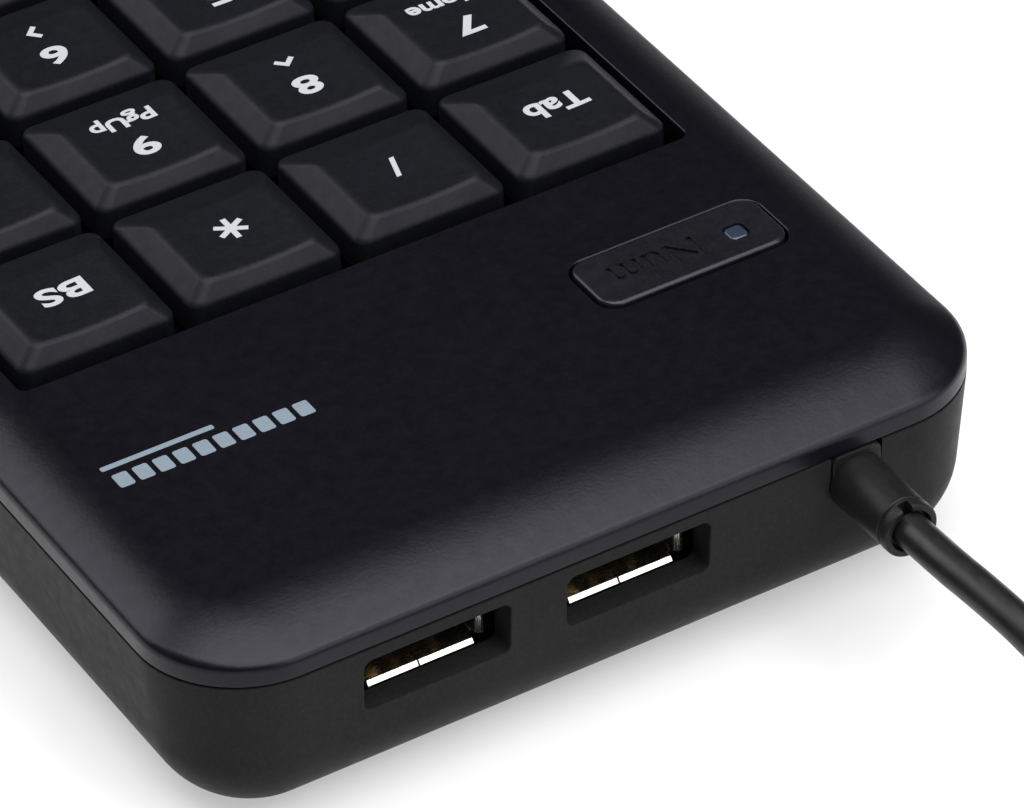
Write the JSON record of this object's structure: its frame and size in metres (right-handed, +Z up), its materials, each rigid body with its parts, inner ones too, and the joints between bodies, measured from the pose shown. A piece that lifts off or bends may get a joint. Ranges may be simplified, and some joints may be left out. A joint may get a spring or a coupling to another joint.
{
  "type": "numeric keypad",
  "caption": "Low black numeric keypad with raised dished keys, a sloped rim, a Num button, USB sockets in the rear wall and a corded USB plug.",
  "frame": {"origin": "middle of the housing's footprint, on the surface that its feet stand on", "axes": "+X to the user's right, +Y away from the user towards the USB sockets and the cord, +Z up"},
  "size_m": [0.0914, 0.2708, 0.0275],
  "materials": {
    "upper_shell": "fine matt grain, soft touch",
    "lower_tray": "fine satin grain",
    "keycap": "satin, white printed legends",
    "key_frame": "moulded black",
    "num_button": "satin with an engraved name",
    "lamp_window": "smoked blue-grey window",
    "led_lens": "clear green lens",
    "silicone": "translucent grey silicone",
    "foil": "clear polyester film",
    "inner_steel": "plated sheet",
    "circuit_board": "green solder mask",
    "chip": "moulded epoxy",
    "crystal_can": "plated can",
    "white_plastic": "natural nylon",
    "socket_metal": "nickel plated",
    "socket_tongue": "black moulded",
    "boot": "soft moulded",
    "cord": "smooth satin jacket",
    "plug_body": "soft moulded",
    "foot_rubber": "matt",
    "screw_steel": "blackened"
  },
  "bodies": {
    "housing": {"top_cover": "upper_shell", "bottom_cover": "lower_tray", "key_frame": "key_frame", "rubber_dome_sheet": "silicone", "membrane_upper": "foil", "membrane_spacer": "foil", "membrane_lower": "foil", "backing_plate": "inner_steel", "main_pcb": "circuit_board", "hub_chip": "chip", "keypad_controller_chip": "chip", "crystal": "crystal_can", "membrane_connector": "white_plastic", "num_led": "led_lens", "num_switch_body": "chip", "usb_shell_right": "socket_metal", "usb_shell_left": "socket_metal", "usb_tongue_right": "socket_tongue", "usb_tongue_left": "socket_tongue", "strain_relief": "boot", "cord_lead": "cord", "cord_coil": "cord", "cord_tail": "cord", "coil_tie": "boot", "plug_overmould": "plug_body", "plug_shell": "socket_metal", "plug_tongue": "white_plastic", "rubber_foot_rear_left": "foot_rubber", "screw_rear_left": "screw_steel", "rubber_foot_rear_right": "foot_rubber", "screw_rear_right": "screw_steel", "rubber_foot_front_left": "foot_rubber", "screw_front_left": "screw_steel", "rubber_foot_front_right": "foot_rubber", "screw_front_right": "screw_steel"},
    "key_tab_body": {"key_tab": "keycap"},
    "key_divide_body": {"key_divide": "keycap"},
    "key_multiply_body": {"key_multiply": "keycap"},
    "key_backspace_body": {"key_backspace": "keycap"},
    "key_7_body": {"key_7": "keycap"},
    "key_8_body": {"key_8": "keycap"},
    "key_9_body": {"key_9": "keycap"},
    "key_minus_body": {"key_minus": "keycap"},
    "key_4_body": {"key_4": "keycap"},
    "key_5_body": {"key_5": "keycap"},
    "key_6_body": {"key_6": "keycap"},
    "key_plus_body": {"key_plus": "keycap"},
    "key_1_body": {"key_1": "keycap"},
    "key_2_body": {"key_2": "keycap"},
    "key_3_body": {"key_3": "keycap"},
    "key_enter_body": {"key_enter": "keycap"},
    "key_0_body": {"key_0": "keycap"},
    "key_00_body": {"key_00": "keycap"},
    "key_decimal_body": {"key_decimal": "keycap"},
    "num_button_body": {"num_button": "num_button", "num_light_pipe": "lamp_window", "num_switch_plunger": "white_plastic"}
  },
  "joints": [
    {"name": "key_tab_press", "type": "slide", "parent": "housing", "child": "key_tab_body", "axis": [0, 0, -1], "range_m": [0, 0.0025], "stiffness_N_per_m": 160, "springref_m": -0.001, "deforming": ["rubber_dome_sheet"]},
    {"name": "key_divide_press", "type": "slide", "parent": "housing", "child": "key_divide_body", "axis": [0, 0, -1], "range_m": [0, 0.0025], "stiffness_N_per_m": 160, "springref_m": -0.001, "deforming": ["rubber_dome_sheet"]},
    {"name": "key_multiply_press", "type": "slide", "parent": "housing", "child": "key_multiply_body", "axis": [0, 0, -1], "range_m": [0, 0.0025], "stiffness_N_per_m": 160, "springref_m": -0.001, "deforming": ["rubber_dome_sheet"]},
    {"name": "key_backspace_press", "type": "slide", "parent": "housing", "child": "key_backspace_body", "axis": [0, 0, -1], "range_m": [0, 0.0025], "stiffness_N_per_m": 160, "springref_m": -0.001, "deforming": ["rubber_dome_sheet"]},
    {"name": "key_7_press", "type": "slide", "parent": "housing", "child": "key_7_body", "axis": [0, 0, -1], "range_m": [0, 0.0025], "stiffness_N_per_m": 160, "springref_m": -0.001, "deforming": ["rubber_dome_sheet"]},
    {"name": "key_8_press", "type": "slide", "parent": "housing", "child": "key_8_body", "axis": [0, 0, -1], "range_m": [0, 0.0025], "stiffness_N_per_m": 160, "springref_m": -0.001, "deforming": ["rubber_dome_sheet"]},
    {"name": "key_9_press", "type": "slide", "parent": "housing", "child": "key_9_body", "axis": [0, 0, -1], "range_m": [0, 0.0025], "stiffness_N_per_m": 160, "springref_m": -0.001, "deforming": ["rubber_dome_sheet"]},
    {"name": "key_minus_press", "type": "slide", "parent": "housing", "child": "key_minus_body", "axis": [0, 0, -1], "range_m": [0, 0.0025], "stiffness_N_per_m": 160, "springref_m": -0.001, "deforming": ["rubber_dome_sheet"]},
    {"name": "key_4_press", "type": "slide", "parent": "housing", "child": "key_4_body", "axis": [0, 0, -1], "range_m": [0, 0.0025], "stiffness_N_per_m": 160, "springref_m": -0.001, "deforming": ["rubber_dome_sheet"]},
    {"name": "key_5_press", "type": "slide", "parent": "housing", "child": "key_5_body", "axis": [0, 0, -1], "range_m": [0, 0.0025], "stiffness_N_per_m": 160, "springref_m": -0.001, "deforming": ["rubber_dome_sheet"]},
    {"name": "key_6_press", "type": "slide", "parent": "housing", "child": "key_6_body", "axis": [0, 0, -1], "range_m": [0, 0.0025], "stiffness_N_per_m": 160, "springref_m": -0.001, "deforming": ["rubber_dome_sheet"]},
    {"name": "key_plus_press", "type": "slide", "parent": "housing", "child": "key_plus_body", "axis": [0, 0, -1], "range_m": [0, 0.0025], "stiffness_N_per_m": 160, "springref_m": -0.001, "deforming": ["rubber_dome_sheet"]},
    {"name": "key_1_press", "type": "slide", "parent": "housing", "child": "key_1_body", "axis": [0, 0, -1], "range_m": [0, 0.0025], "stiffness_N_per_m": 160, "springref_m": -0.001, "deforming": ["rubber_dome_sheet"]},
    {"name": "key_2_press", "type": "slide", "parent": "housing", "child": "key_2_body", "axis": [0, 0, -1], "range_m": [0, 0.0025], "stiffness_N_per_m": 160, "springref_m": -0.001, "deforming": ["rubber_dome_sheet"]},
    {"name": "key_3_press", "type": "slide", "parent": "housing", "child": "key_3_body", "axis": [0, 0, -1], "range_m": [0, 0.0025], "stiffness_N_per_m": 160, "springref_m": -0.001, "deforming": ["rubber_dome_sheet"]},
    {"name": "key_enter_press", "type": "slide", "parent": "housing", "child": "key_enter_body", "axis": [0, 0, -1], "range_m": [0, 0.0025], "stiffness_N_per_m": 160, "springref_m": -0.001, "deforming": ["rubber_dome_sheet"]},
    {"name": "key_0_press", "type": "slide", "parent": "housing", "child": "key_0_body", "axis": [0, 0, -1], "range_m": [0, 0.0025], "stiffness_N_per_m": 160, "springref_m": -0.001, "deforming": ["rubber_dome_sheet"]},
    {"name": "key_00_press", "type": "slide", "parent": "housing", "child": "key_00_body", "axis": [0, 0, -1], "range_m": [0, 0.0025], "stiffness_N_per_m": 160, "springref_m": -0.001, "deforming": ["rubber_dome_sheet"]},
    {"name": "key_decimal_press", "type": "slide", "parent": "housing", "child": "key_decimal_body", "axis": [0, 0, -1], "range_m": [0, 0.0025], "stiffness_N_per_m": 160, "springref_m": -0.001, "deforming": ["rubber_dome_sheet"]},
    {"name": "num_button_press", "type": "slide", "parent": "housing", "child": "num_button_body", "axis": [0, 0, -1], "range_m": [0, 0.0004], "stiffness_N_per_m": 3000, "springref_m": -0.0002}
  ]
}
